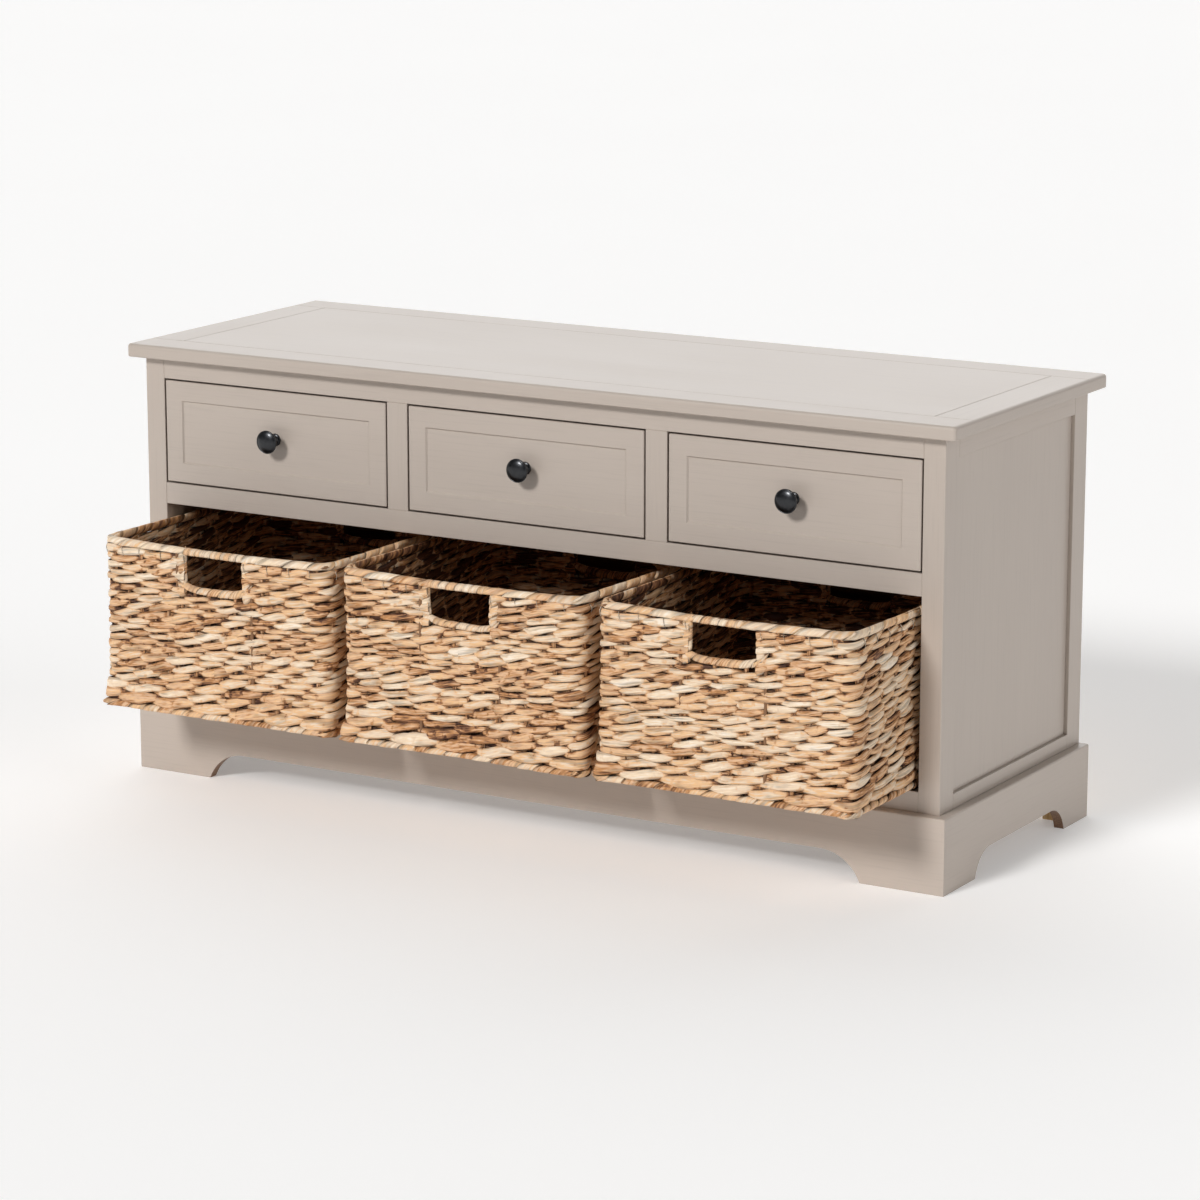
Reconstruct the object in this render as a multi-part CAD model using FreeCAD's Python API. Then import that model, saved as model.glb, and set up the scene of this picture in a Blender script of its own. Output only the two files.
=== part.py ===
import FreeCAD, Part
import os

# Entryway bench: a framed top on a panelled carcass with a bracket plinth, three drawers
# and three woven baskets. Millimetres; X to the right, Y to the back, Z up from the floor.
# The origin is on the floor, under the middle of the bench with its baskets pulled out.

V = FreeCAD.Vector

# ---- driving dimensions: overall -----------------------------------------------------------
BENCH_W = 1066.0          # the top board, end to end
TOP_D = 387.0             # the top board, front to back
BENCH_H = 508.0           # floor to seat
TOP_T = 15.5              # thickness of the top board
BODY_W = 1032.0           # carcass, side to side
BODY_D = 359.0            # carcass, front to back
OVERHANG = 14.0           # how far the top stands ahead of the carcass
PLINTH_H = 84.5
BOARD_T = 12.0            # plinth boards, partitions, drawer sides
EASE = 0.5                # bevel on the edges of every painted board
FACE_EASE = 0.8           # bevel round a drawer front
UNDER_EASE = 1.0          # bevel on the lower edge of the top
OUTSIDE = 0.01            # how far outside a surface a cutter starts
CLEAR = 0.05              # room round a screw in its hole

# ---- driving dimensions: top ---------------------------------------------------------------
TOP_RAIL_W = 47.0         # width of the frame round the centre panel
TOP_ROUND = 3.8           # rounding along the upper edge
TOP_CORNER = 4.4          # rounding of the four corners, seen from above
GROOVE_W = 1.2            # fine V groove along each joint of the top
GROOVE_DEPTH = 0.9

# ---- driving dimensions: carcass -----------------------------------------------------------
POST_W = 25.5             # corner post, seen from the front
POST_D = 33.0             # corner post, seen from the side
RAIL_T = 22.0             # thickness of rails and muntins
MUNTIN_W = 27.0
LET_IN = 20.0             # how deep the carcass stands inside the plinth
SHELF_Z = 107.5           # upper face of the bottom shelf
SHELF_T = 12.0
MID_RAIL_Z = 320.5        # underside of the rail below the drawers
DRAWER_Z = 345.5          # underside of the drawer openings
TOP_RAIL_Z = 468.5        # upper limit of the drawer openings
SIDE_PANEL_Z0 = 101.0     # visible field of the side panel
SIDE_PANEL_Z1 = 467.0
PANEL_T = 9.0
PANEL_RECESS = 4.5
TONGUE = 6.0              # how deep a panel sits in its grooves
BACK_T = 5.0              # plywood back
BACK_RAIL_H = 25.0
BACK_RAIL_T = 18.0
BLOCK = 26.0              # corner blocks in the plinth

# ---- driving dimensions: plinth arches -----------------------------------------------------
FRONT_FOOT = 100.0        # width of a front foot at the floor
FRONT_ARCH_Z = 32.5       # height of the front arch
FRONT_ARCH_R = 51.5       # radius of its two ends
SIDE_FOOT_FRONT = 78.0
SIDE_FOOT_BACK = 63.0
SIDE_ARCH_Z = 29.0
SIDE_ARCH_R = 37.5
PLINTH_ROUND = 1.8        # rounding along the upper outer edge

# ---- driving dimensions: drawers -----------------------------------------------------------
REVEAL = 2.0              # gap round a drawer front
FRONT_T = 18.0
FIELD_BORDER = 22.3       # flat frame round the recessed field
FIELD_DEPTH = 1.8
FIELD_SLOPE = 1.8         # run of the sloped edge of the field
DRAWER_L = 300.0          # length of a drawer side
DRAWER_SIDE_H = 98.0
DRAWER_SIDE_GAP = 6.0     # room beside the drawer box in its opening
DRAWER_BOTTOM_T = 5.0
DRAWER_BOTTOM_UP = 10.0   # height of the bottom above the side's lower edge
GROOVE = 5.0              # depth of the grooves that hold the bottom
SLIDE_GAP = 0.3           # running clearance
RUNNER_H = 21.7
RUNNER_REACH = 20.0       # how far a runner reaches under a drawer

# ---- driving dimensions: knob --------------------------------------------------------------
KNOB_R = 13.5
KNOB_RIM_Z = 14.5         # distance from the drawer face to the widest part
KNOB_RIM_H = 1.6
KNOB_L = 21.5
KNOB_UP = 3.0             # height of the knob above the middle of the drawer front
KNOB_BASE_R = 7.2
KNOB_NECK_R = 4.4
KNOB_HOLE = 12.0

# ---- driving dimensions: screws ------------------------------------------------------------
SCREW_R = 2.0
SCREW_HEAD_R = 4.0
SCREW_HEAD_H = 2.4
SCREW_TIP = 3.0
BACK_SCREW_L = 20.0
TOP_SCREW_L = 33.0
SLOT_W = 0.9              # cross recess in a screw head
SLOT_DEPTH = 1.2
BACK_SCREW_SPREAD = 0.96  # share of the inside width that a row of back screws spans
TOP_SCREW_SPREAD = (-0.84, -0.5, 0.5, 0.84)

# ---- driving dimensions: baskets -----------------------------------------------------------
BASKET_W = 316.0
BASKET_D = 325.0
BASKET_H = 200.0
BASKET_PITCH = 327.0      # centre to centre
BASKET_WALL = 10.0
BASKET_CORNER = 20.0      # rounding of the upright corners
BASKET_EDGE = 3.5         # rounding of rim and base border
BASKET_PROUD = 126.0      # how far the baskets stand ahead of the top's front edge
HANDLE_W = 78.0
HANDLE_H = 34.0
HANDLE_DOWN = 10.5        # rim height above the hand-hold
HANDLE_CORNER = 6.0
WIRE_R = 2.0

# ---- places worked out from them -----------------------------------------------------------
TOP_FRONT = BASKET_PROUD - (TOP_D + BASKET_PROUD) / 2
TOP_BACK = TOP_FRONT + TOP_D
FRONT = TOP_FRONT + OVERHANG
BACK = FRONT + BODY_D
TOP_UNDER = BENCH_H - TOP_T
SIDE = BODY_W / 2
INNER = SIDE - POST_W
FOOT_Z = PLINTH_H - LET_IN
PLINTH_X = SIDE + BOARD_T
PLINTH_FRONT = FRONT - BOARD_T
BAY_W = (2 * INNER - 2 * MUNTIN_W) / 3
DRAWER_X = BAY_W + MUNTIN_W
RAIL_BACK = FRONT + RAIL_T
BACK_FACE = BACK - BACK_T
BACK_RAIL_FRONT = BACK_FACE - BACK_RAIL_T
BASKET_Y = TOP_FRONT - BASKET_PROUD + BASKET_D / 2
BASKET_Z = SHELF_Z + SLIDE_GAP
PLACES = (("left", -1), ("centre", 0), ("right", 1))
SIDES = (("left", -1), ("right", 1))

nodes = {}


# ---- helpers -------------------------------------------------------------------------------
def block(xs, ys, zs):
    """A plain box between two limits on each axis."""
    return Part.makeBox(xs[1] - xs[0], ys[1] - ys[0], zs[1] - zs[0], V(xs[0], ys[0], zs[0]))


def board(xs, ys, zs, ease=EASE):
    """A board with every edge lightly bevelled, so that its joints show as fine lines."""
    solid = block(xs, ys, zs)
    return solid.makeChamfer(ease, solid.Edges)


def mirrored(shape, side):
    """The right-hand shape, or its mirror image for the left."""
    return shape if side > 0 else shape.mirror(V(0, 0, 0), V(1, 0, 0))


def prism(points, z0, z1):
    """An upright prism on an outline in X and Y."""
    outline = Part.makePolygon([V(x, y, z0) for x, y in points + points[:1]])
    return Part.Face(outline).extrude(V(0, 0, z1 - z0))


def rounded(centre, width, depth, z0, z1, radius):
    """An upright block with rounded corners."""
    x, y = centre
    solid = block((x - width / 2, x + width / 2), (y - depth / 2, y + depth / 2), (z0, z1))
    return solid.makeFillet(radius, upright(solid))


def upright(shape):
    """The edges that run straight up."""
    found = []
    for edge in shape.Edges:
        low, high = edge.BoundBox.ZMin, edge.BoundBox.ZMax
        if edge.BoundBox.XLength < 1e-6 and edge.BoundBox.YLength < 1e-6 and high - low > 1:
            found.append(edge)
    return found


def level(shape, z):
    """The edges that lie flat at one height."""
    return [e for e in shape.Edges if abs(e.BoundBox.ZMin - z) < 1e-6 and abs(e.BoundBox.ZMax - z) < 1e-6]


def turned(profile, origin, direction):
    """A turned solid: radius and height pairs spun about a direction from an origin."""
    points = [V(r, 0, h) for r, h in profile]
    face = Part.Face(Part.makePolygon(points + points[:1]))
    return set_on(face.revolve(V(0, 0, 0), V(0, 0, 1), 360), origin, direction)


def set_on(shape, origin, direction):
    """Stand a shape, made along +Z, on an origin along a direction."""
    moved = shape.copy()
    moved.Placement = FreeCAD.Placement(V(*origin), FreeCAD.Rotation(V(0, 0, 1), V(*direction)))
    return moved


def screw_profile(length, room=0.0):
    """Half outline of a countersunk wood screw that is driven along +Z from its head."""
    return [
        (0, -room),
        (SCREW_HEAD_R + room, -room),
        (SCREW_HEAD_R + room, 0.4),
        (SCREW_R + room, SCREW_HEAD_H + room),
        (SCREW_R + room, length - SCREW_TIP),
        (0, length + room),
    ]


def screw(length, origin, direction):
    """A countersunk wood screw with a cross recess."""
    solid = turned(screw_profile(length), (0, 0, 0), (0, 0, 1))
    arm = 0.62 * SCREW_HEAD_R
    for size in ((arm, SLOT_W / 2), (SLOT_W / 2, arm)):
        solid = solid.cut(block((-size[0], size[0]), (-size[1], size[1]), (-1, SLOT_DEPTH)))
    return set_on(solid, origin, direction)


def drilled(shape, length, places, direction):
    """A shape with a countersunk screw hole at each place."""
    for origin in places:
        shape = shape.cut(turned(screw_profile(length, CLEAR), origin, direction))
    return shape


# ---- top: four rails round a centre panel --------------------------------------------------
def groove(start, end):
    """A V-shaped cutter along a joint in the upper face of the top."""
    along = V(*end) - V(*start)
    across = V(-along.y, along.x, 0).normalize() * (GROOVE_W / 2)
    middle = V(*start)
    outline = [middle - across, middle + across, middle - V(0, 0, GROOVE_DEPTH)]
    lifted = [p + V(0, 0, OUTSIDE) for p in outline]
    return Part.Face(Part.makePolygon(lifted + lifted[:1])).extrude(along)


def make_top():
    half = BENCH_W / 2
    middle_y = (TOP_FRONT + TOP_BACK) / 2
    slab = rounded((0, middle_y), BENCH_W, TOP_D, TOP_UNDER, BENCH_H, TOP_CORNER)
    slab = slab.makeFillet(TOP_ROUND, level(slab, BENCH_H))
    slab = slab.makeChamfer(UNDER_EASE, level(slab, TOP_UNDER))
    y0 = TOP_FRONT + TOP_RAIL_W
    y1 = TOP_BACK - TOP_RAIL_W
    x1 = half - TOP_RAIL_W
    for y in (y0, y1):
        slab = slab.cut(groove((-half, y, BENCH_H), (half, y, BENCH_H)))
    for x in (-x1, x1):
        slab = slab.cut(groove((x, y0, BENCH_H), (x, y1, BENCH_H)))
    zs = (TOP_UNDER - 1, BENCH_H + 1)
    nodes["top_front_rail"] = slab.common(block((-half - 1, half + 1), (TOP_FRONT - 1, y0), zs))
    nodes["top_back_rail"] = slab.common(block((-half - 1, half + 1), (y1, TOP_BACK + 1), zs))
    nodes["top_centre_panel"] = slab.common(block((-x1, x1), (y0, y1), zs))
    nodes["top_left_end"] = slab.common(block((-half - 1, -x1), (y0, y1), zs))
    nodes["top_right_end"] = slab.common(block((x1, half + 1), (y0, y1), zs))


# ---- carcass: posts, side panels, front frame, shelf and back ------------------------------
def make_sides():
    front_y = (FRONT, FRONT + POST_D)
    back_y = (BACK - POST_D, BACK)
    post_x = (INNER, SIDE)
    rail_x = (SIDE - RAIL_T, SIDE)
    between = (front_y[1], back_y[0])
    panel_x = (SIDE - PANEL_RECESS - PANEL_T, SIDE - PANEL_RECESS)
    panel_y = (between[0] - TONGUE, between[1] + TONGUE)
    panel = block(panel_x, panel_y, (SIDE_PANEL_Z0 - TONGUE, SIDE_PANEL_Z1 + TONGUE))
    pieces = {
        "front_post": board(post_x, front_y, (FOOT_Z, TOP_UNDER)).cut(panel),
        "back_post": board(post_x, back_y, (FOOT_Z, TOP_UNDER)).cut(panel),
        "side_top_rail": board(rail_x, between, (SIDE_PANEL_Z1, TOP_UNDER)).cut(panel),
        "side_bottom_rail": board(rail_x, between, (FOOT_Z, SIDE_PANEL_Z0)).cut(panel),
        "side_panel": panel,
    }
    for side, sign in SIDES:
        for name, shape in pieces.items():
            nodes[f"{side}_{name}"] = mirrored(shape, sign)


def make_front_frame():
    ys = (FRONT, RAIL_BACK)
    nodes["front_top_rail"] = board((-INNER, INNER), ys, (TOP_RAIL_Z, TOP_UNDER))
    nodes["front_mid_rail"] = board((-INNER, INNER), ys, (MID_RAIL_Z, DRAWER_Z))
    nodes["front_bottom_rail"] = board((-INNER, INNER), ys, (FOOT_Z, SHELF_Z))
    muntin = board((BAY_W / 2, BAY_W / 2 + MUNTIN_W), ys, (DRAWER_Z, TOP_RAIL_Z))
    partition_x = (BAY_W / 2 + (MUNTIN_W - BOARD_T) / 2, BAY_W / 2 + (MUNTIN_W + BOARD_T) / 2)
    partition = board(partition_x, (RAIL_BACK, BACK_RAIL_FRONT), (MID_RAIL_Z, TOP_UNDER))
    for side, sign in SIDES:
        nodes[f"{side}_muntin"] = mirrored(muntin, sign)
        nodes[f"{side}_partition"] = mirrored(partition, sign)


def make_runners():
    """Six strips that carry the drawer sides, two to a drawer."""
    ys = (RAIL_BACK, BACK_RAIL_FRONT)
    zs = (DRAWER_Z + REVEAL - SLIDE_GAP - RUNNER_H, DRAWER_Z + REVEAL - SLIDE_GAP)
    partition_in = BAY_W / 2 + (MUNTIN_W - BOARD_T) / 2
    partition_out = partition_in + BOARD_T
    spans = (
        (BAY_W / 2 - RUNNER_REACH, partition_in),
        (partition_out, BAY_W / 2 + MUNTIN_W + RUNNER_REACH),
        (INNER - RUNNER_REACH, INNER),
    )
    strips = [mirrored(board(span, ys, zs), sign) for span in spans for _, sign in SIDES]
    nodes["drawer_runners"] = Part.makeCompound(strips)


def make_shelf_and_back():
    rail_x = SIDE - RAIL_T
    shelf = block((-rail_x, rail_x), (RAIL_BACK, BACK_FACE), (SHELF_Z - SHELF_T, SHELF_Z))
    for xs in ((-SIDE, -INNER), (INNER, SIDE)):
        for ys in ((FRONT, FRONT + POST_D), (BACK - POST_D, BACK)):
            shelf = shelf.cut(block(xs, ys, (0, BENCH_H)))
    nodes["bottom_shelf"] = shelf

    bottom = SHELF_Z - SHELF_T - BACK_RAIL_H
    levels = (bottom, MID_RAIL_Z, TOP_UNDER - BACK_RAIL_H)
    ys = (BACK_RAIL_FRONT, BACK_FACE)
    rails = [block((-INNER, INNER), ys, (z, z + BACK_RAIL_H)) for z in levels]
    panel = block((-INNER, INNER), (BACK_FACE, BACK), (bottom, TOP_UNDER))

    columns = [INNER * step / 3 * BACK_SCREW_SPREAD for step in range(-3, 4)]
    places = [(x, BACK, z + BACK_RAIL_H / 2) for z in levels for x in columns]
    inward = (0, -1, 0)
    nodes["back_panel"] = drilled(panel, BACK_SCREW_L, places, inward)
    screws = [screw(BACK_SCREW_L, place, inward) for place in places]
    nodes["back_panel_screws"] = Part.makeCompound(screws)

    rails = [drilled(rails[i], BACK_SCREW_L, places[i * 7:i * 7 + 7], inward) for i in range(3)]
    nodes["back_rails"] = Part.makeCompound(rails)


def make_top_screws():
    """Screws driven up through the front and back top rails into the top."""
    up = (0, 0, 1)
    front_y = FRONT + RAIL_T / 2
    back_y = BACK_RAIL_FRONT + BACK_RAIL_T / 2
    columns = [INNER * step for step in TOP_SCREW_SPREAD]
    front = [(x, front_y, TOP_RAIL_Z) for x in columns]
    back = [(x, back_y, TOP_UNDER - BACK_RAIL_H) for x in columns]
    nodes["front_top_rail"] = drilled(nodes["front_top_rail"], TOP_SCREW_L, front, up)
    nodes["back_rails"] = drilled(nodes["back_rails"], TOP_SCREW_L, back, up)
    for name in ("top_front_rail", "top_back_rail", "top_centre_panel"):
        nodes[name] = drilled(nodes[name], TOP_SCREW_L, front + back, up)
    nodes["top_screws"] = Part.makeCompound([screw(TOP_SCREW_L, p, up) for p in front + back])


# ---- plinth: three arched boards, a back stretcher and corner blocks -----------------------
def rounded_along(solid, point):
    """Round the straight edge whose middle is at a point."""
    edges = [e for e in solid.Edges if e.CenterOfMass.distanceToPoint(point) < 1e-6]
    return solid.makeFillet(PLINTH_ROUND, edges)


def arch_cutter(along, low, high, rise, radius):
    """The space under a board: flat on top, with a round end at each side."""
    depth = 4 * BOARD_T
    cutters = []
    foot_run = (radius ** 2 - (radius - rise) ** 2) ** 0.5
    ends = (low + foot_run, high - foot_run)
    for end in ends:
        cutters.append(Part.makeCylinder(radius, depth, V(end, -depth / 2, rise - radius), V(0, 1, 0)))
    cutters.append(block(ends, (-depth / 2, depth / 2), (-1, rise)))
    cutter = cutters[0].multiFuse(cutters[1:])
    if along == "y":
        cutter.rotate(V(0, 0, 0), V(0, 0, 1), 90)
    return cutter


def make_plinth():
    y_mitre = PLINTH_FRONT + BOARD_T
    outline = [(-PLINTH_X, PLINTH_FRONT), (PLINTH_X, PLINTH_FRONT), (SIDE, y_mitre), (-SIDE, y_mitre)]
    front = rounded_along(prism(outline, 0, PLINTH_H), V(0, PLINTH_FRONT, PLINTH_H))
    cutter = arch_cutter("x", FRONT_FOOT - PLINTH_X, PLINTH_X - FRONT_FOOT, FRONT_ARCH_Z, FRONT_ARCH_R)
    cutter.translate(V(0, PLINTH_FRONT, 0))
    nodes["plinth_front"] = front.cut(cutter)

    outline = [(PLINTH_X, PLINTH_FRONT), (PLINTH_X, BACK), (SIDE, BACK), (SIDE, y_mitre)]
    middle = (PLINTH_FRONT + BACK) / 2
    side_board = rounded_along(prism(outline, 0, PLINTH_H), V(PLINTH_X, middle, PLINTH_H))
    low = PLINTH_FRONT + SIDE_FOOT_FRONT
    cutter = arch_cutter("y", low, BACK - SIDE_FOOT_BACK, SIDE_ARCH_Z, SIDE_ARCH_R)
    cutter.translate(V(PLINTH_X, 0, 0))
    side_board = side_board.cut(cutter)
    for side, sign in SIDES:
        nodes[f"plinth_{side}"] = mirrored(side_board, sign)

    nodes["plinth_back"] = board((-SIDE, SIDE), (BACK - BOARD_T, BACK), (FRONT_ARCH_Z, FOOT_Z))
    ends = ((FRONT, FRONT + BLOCK), (BACK - BOARD_T - BLOCK, BACK - BOARD_T))
    corner = [board((SIDE - BLOCK, SIDE), ys, (0, FOOT_Z)) for ys in ends]
    blocks = [mirrored(shape, sign) for shape in corner for _, sign in SIDES]
    nodes["corner_blocks"] = Part.makeCompound(blocks)


# ---- drawers -------------------------------------------------------------------------------
def field_cutter(half_w, half_h, middle_z):
    """The recessed field of a drawer front, with sloped edges."""
    wires = []
    for y, inset in ((FRONT - OUTSIDE, 0.0), (FRONT + FIELD_DEPTH, FIELD_SLOPE)):
        x, z = half_w - inset, half_h - inset
        corners = [(-x, -z), (x, -z), (x, z), (-x, z), (-x, -z)]
        wires.append(Part.makePolygon([V(cx, y, middle_z + cz) for cx, cz in corners]))
    return Part.makeLoft(wires, True, True)


def dome_middle(edge_r, edge_z, crown_z):
    """A point half way up the cap of a sphere that spans a rim and a crown."""
    rise = crown_z - edge_z
    ball = (edge_r ** 2 + rise ** 2) / (2 * rise)
    half_r = edge_r / 2
    return V(half_r, 0, crown_z - ball + (ball ** 2 - half_r ** 2) ** 0.5)


def make_knob(origin):
    """A turned mushroom knob on a flared neck, with a blind screw hole."""
    rim_low, rim_high = KNOB_RIM_Z, KNOB_RIM_Z + KNOB_RIM_H
    neck_z = 0.38 * KNOB_RIM_Z
    base = V(0, 0, 0)
    foot = V(KNOB_BASE_R, 0, 0)
    foot_top = V(KNOB_BASE_R, 0, 1.4)
    neck = V(KNOB_NECK_R, 0, neck_z)
    under = V(KNOB_R - 0.8, 0, rim_low)
    rim0 = V(KNOB_R, 0, rim_low + 0.5)
    rim1 = V(KNOB_R, 0, rim_high)
    shoulder = V(KNOB_R - 0.9, 0, rim_high + 0.5)
    crown = V(0, 0, KNOB_L)
    edges = [
        Part.LineSegment(base, foot).toShape(),
        Part.LineSegment(foot, foot_top).toShape(),
        Part.Arc(foot_top, V(KNOB_NECK_R + 0.9, 0, 0.45 * neck_z), neck).toShape(),
        Part.Arc(neck, V(KNOB_NECK_R + 2.3, 0, 0.72 * rim_low), under).toShape(),
        Part.LineSegment(under, rim0).toShape(),
        Part.LineSegment(rim0, rim1).toShape(),
        Part.LineSegment(rim1, shoulder).toShape(),
        Part.Arc(shoulder, dome_middle(shoulder.x, shoulder.z, crown.z), crown).toShape(),
        Part.LineSegment(crown, base).toShape(),
    ]
    knob = Part.Face(Part.Wire(edges)).revolve(V(0, 0, 0), V(0, 0, 1), 360)
    knob = knob.cut(Part.makeCylinder(SCREW_R + CLEAR, KNOB_HOLE, V(0, 0, 0)))
    return set_on(knob, origin, (0, -1, 0))


def make_drawer():
    """The pieces of one drawer, made on the bench's centre line."""
    half = BAY_W / 2 - REVEAL
    z0, z1 = DRAWER_Z + REVEAL, TOP_RAIL_Z - REVEAL
    middle_z = (z0 + z1) / 2
    knob_z = middle_z + KNOB_UP
    face_back = FRONT + FRONT_T
    front = board((-half, half), (FRONT, face_back), (z0, z1), FACE_EASE)
    front = front.cut(field_cutter(half - FIELD_BORDER, (z1 - z0) / 2 - FIELD_BORDER, middle_z))

    box_half = BAY_W / 2 - DRAWER_SIDE_GAP
    inner = box_half - BOARD_T
    ys = (face_back, face_back + DRAWER_L)
    bottom_z = (z0 + DRAWER_BOTTOM_UP, z0 + DRAWER_BOTTOM_UP + DRAWER_BOTTOM_T)
    bottom = block((-inner - GROOVE, inner + GROOVE), (face_back - GROOVE, ys[1]), bottom_z)
    side = board((inner, box_half), ys, (z0, z0 + DRAWER_SIDE_H)).cut(bottom)
    back = board((-inner, inner), (ys[1] - BOARD_T, ys[1]), (bottom_z[1], z0 + DRAWER_SIDE_H - 8))

    shank = FRONT_T - FIELD_DEPTH + KNOB_HOLE - 1
    pan = [(0, -2.6), (2.6, -2.6), (4.0, -1.2), (4.0, 0), (SCREW_R, 0), (SCREW_R, shank), (0, shank)]
    knob_screw = turned(pan, (0, face_back, knob_z), (0, -1, 0))
    hole = Part.makeCylinder(SCREW_R + CLEAR, FRONT_T + 2, V(0, face_back + 1, knob_z), V(0, -1, 0))
    return {
        "front": front.cut(bottom).cut(hole),
        "left_side": mirrored(side, -1),
        "right_side": side,
        "back": back,
        "bottom": bottom,
        "knob": make_knob((0, FRONT + FIELD_DEPTH, knob_z)),
        "knob_screw": knob_screw,
    }


# ---- baskets -------------------------------------------------------------------------------
def wire_loop(half_x, half_y, bend, z):
    """A rounded rectangle of wire: four straight runs and four quarter bends."""
    pieces = []
    for sign in (-1, 1):
        run_x = V(-(half_x - bend), sign * half_y, z)
        run_y = V(sign * half_x, -(half_y - bend), z)
        pieces.append(Part.makeCylinder(WIRE_R, 2 * (half_x - bend), run_x, V(1, 0, 0)))
        pieces.append(Part.makeCylinder(WIRE_R, 2 * (half_y - bend), run_y, V(0, 1, 0)))
    for quarter in range(4):
        bow = Part.makeTorus(bend, WIRE_R, V(0, 0, 0), V(0, 0, 1), -180, 180, 90)
        bow.rotate(V(0, 0, 0), V(0, 0, 1), 90 * quarter)
        sign_x = 1 if quarter in (0, 3) else -1
        sign_y = 1 if quarter in (0, 1) else -1
        bow.translate(V(sign_x * (half_x - bend), sign_y * (half_y - bend), z))
        pieces.append(bow)
    return pieces


def wire_frame():
    """The steel frame inside a basket's wall: a loop at rim and base, joined by uprights."""
    half_x = (BASKET_W - BASKET_WALL) / 2
    half_y = (BASKET_D - BASKET_WALL) / 2
    bend = BASKET_CORNER - BASKET_WALL / 2
    top_z = BASKET_Z + BASKET_H - HANDLE_DOWN / 2
    base_z = BASKET_Z + BASKET_WALL / 2
    pieces = wire_loop(half_x, half_y, bend, base_z) + wire_loop(half_x, half_y, bend, top_z)
    upright_x = HANDLE_W / 2 + 12
    spots = [(sx * upright_x, sy * half_y) for sx in (-1, 1) for sy in (-1, 1)]
    spots += [(sx * half_x, sy * half_y / 2) for sx in (-1, 1) for sy in (-1, 1)]
    for x, y in spots:
        pieces.append(Part.makeCylinder(WIRE_R, top_z - base_z, V(x, y, base_z)))
    return pieces[0].multiFuse(pieces[1:]).removeSplitter()


def make_basket():
    """The woven tub, with a hand-hold in its front and back walls, woven round its wire frame."""
    top_z = BASKET_Z + BASKET_H
    tub = rounded((0, 0), BASKET_W, BASKET_D, BASKET_Z, top_z, BASKET_CORNER)
    inner_r = BASKET_CORNER - BASKET_WALL
    inner_w, inner_d = BASKET_W - 2 * BASKET_WALL, BASKET_D - 2 * BASKET_WALL
    tub = tub.cut(rounded((0, 0), inner_w, inner_d, BASKET_Z + BASKET_WALL, top_z + 1, inner_r))
    tub = tub.makeFillet(BASKET_EDGE, level(tub, top_z) + level(tub, BASKET_Z))
    hole_z = (top_z - HANDLE_DOWN - HANDLE_H, top_z - HANDLE_DOWN)
    hole = block((-HANDLE_W / 2, HANDLE_W / 2), (-BASKET_D, BASKET_D), hole_z)
    lengthwise = [e for e in hole.Edges if e.BoundBox.YLength > BASKET_D]
    return {"weave": tub.cut(hole.makeFillet(HANDLE_CORNER, lengthwise)), "wire_frame": wire_frame()}


def make_moving_sets():
    """Three drawers and three baskets, each set a copy of the first."""
    for kind, pieces, step, y in (
        ("drawer", make_drawer(), DRAWER_X, 0.0),
        ("basket", make_basket(), BASKET_PITCH, BASKET_Y),
    ):
        for place, index in PLACES:
            for piece, shape in pieces.items():
                copy = shape.copy()
                copy.translate(V(index * step, y, 0))
                nodes[f"{kind}_{place}_{piece}"] = copy


make_top()
make_sides()
make_front_frame()
make_runners()
make_shelf_and_back()
make_top_screws()
make_plinth()
make_moving_sets()

os.makedirs("parts", exist_ok=True)
for name, shape in nodes.items():
    shape.exportStep(f"parts/{name}.step")
    solids = len(shape.Solids)
    print(f"{name}: {solids} solid(s), valid {shape.isValid()}, {shape.Volume / 1000:.1f} cm3")
print(len(nodes), "nodes")
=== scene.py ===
# %% [markdown]
# # An entryway bench, finished in Blender
# The bench is a painted cabinet on a bracket plinth, with three drawers over three woven
# baskets. Its joinery comes from a CAD model that is loaded here as a fixed frame: the boards
# keep their shape and only get a finish. The woven baskets and the turned knobs are built in
# this file, because their look lies in shape that a CAD solid doesn't carry.

import math

import bpy
import numpy as np
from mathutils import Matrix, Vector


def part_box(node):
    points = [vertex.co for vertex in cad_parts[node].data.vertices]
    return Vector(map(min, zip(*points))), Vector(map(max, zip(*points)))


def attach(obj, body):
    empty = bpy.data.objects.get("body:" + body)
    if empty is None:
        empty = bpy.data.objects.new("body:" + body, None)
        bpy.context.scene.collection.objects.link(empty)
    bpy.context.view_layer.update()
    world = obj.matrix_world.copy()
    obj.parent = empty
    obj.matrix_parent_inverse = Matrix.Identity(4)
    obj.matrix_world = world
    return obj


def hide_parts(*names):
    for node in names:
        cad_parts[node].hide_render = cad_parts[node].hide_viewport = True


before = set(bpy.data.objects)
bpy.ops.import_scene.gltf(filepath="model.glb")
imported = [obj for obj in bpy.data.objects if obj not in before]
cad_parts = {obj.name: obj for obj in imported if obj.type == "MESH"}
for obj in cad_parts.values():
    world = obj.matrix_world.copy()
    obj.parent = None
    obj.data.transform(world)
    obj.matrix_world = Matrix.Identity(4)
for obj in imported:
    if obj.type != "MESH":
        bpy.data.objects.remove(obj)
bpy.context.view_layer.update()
MM = 0.001

# %% [markdown]
# ## Colour and nodes
# A maker picks a colour as a paint chip, which is an sRGB value, while a shader works with
# linear light. One function turns the first into the second. Every material below is a small
# graph of nodes, and one function adds any node, sets its properties and links its sockets.

# %% Colour and node helpers
def linear(chip):
    """An sRGB hex colour as the linear RGBA that a shader socket takes."""
    light = []
    for i in (1, 3, 5):
        part = int(chip[i:i + 2], 16) / 255
        light.append(part / 12.92 if part <= 0.04045 else ((part + 0.055) / 1.055) ** 2.4)
    return (*light, 1.0)


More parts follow.
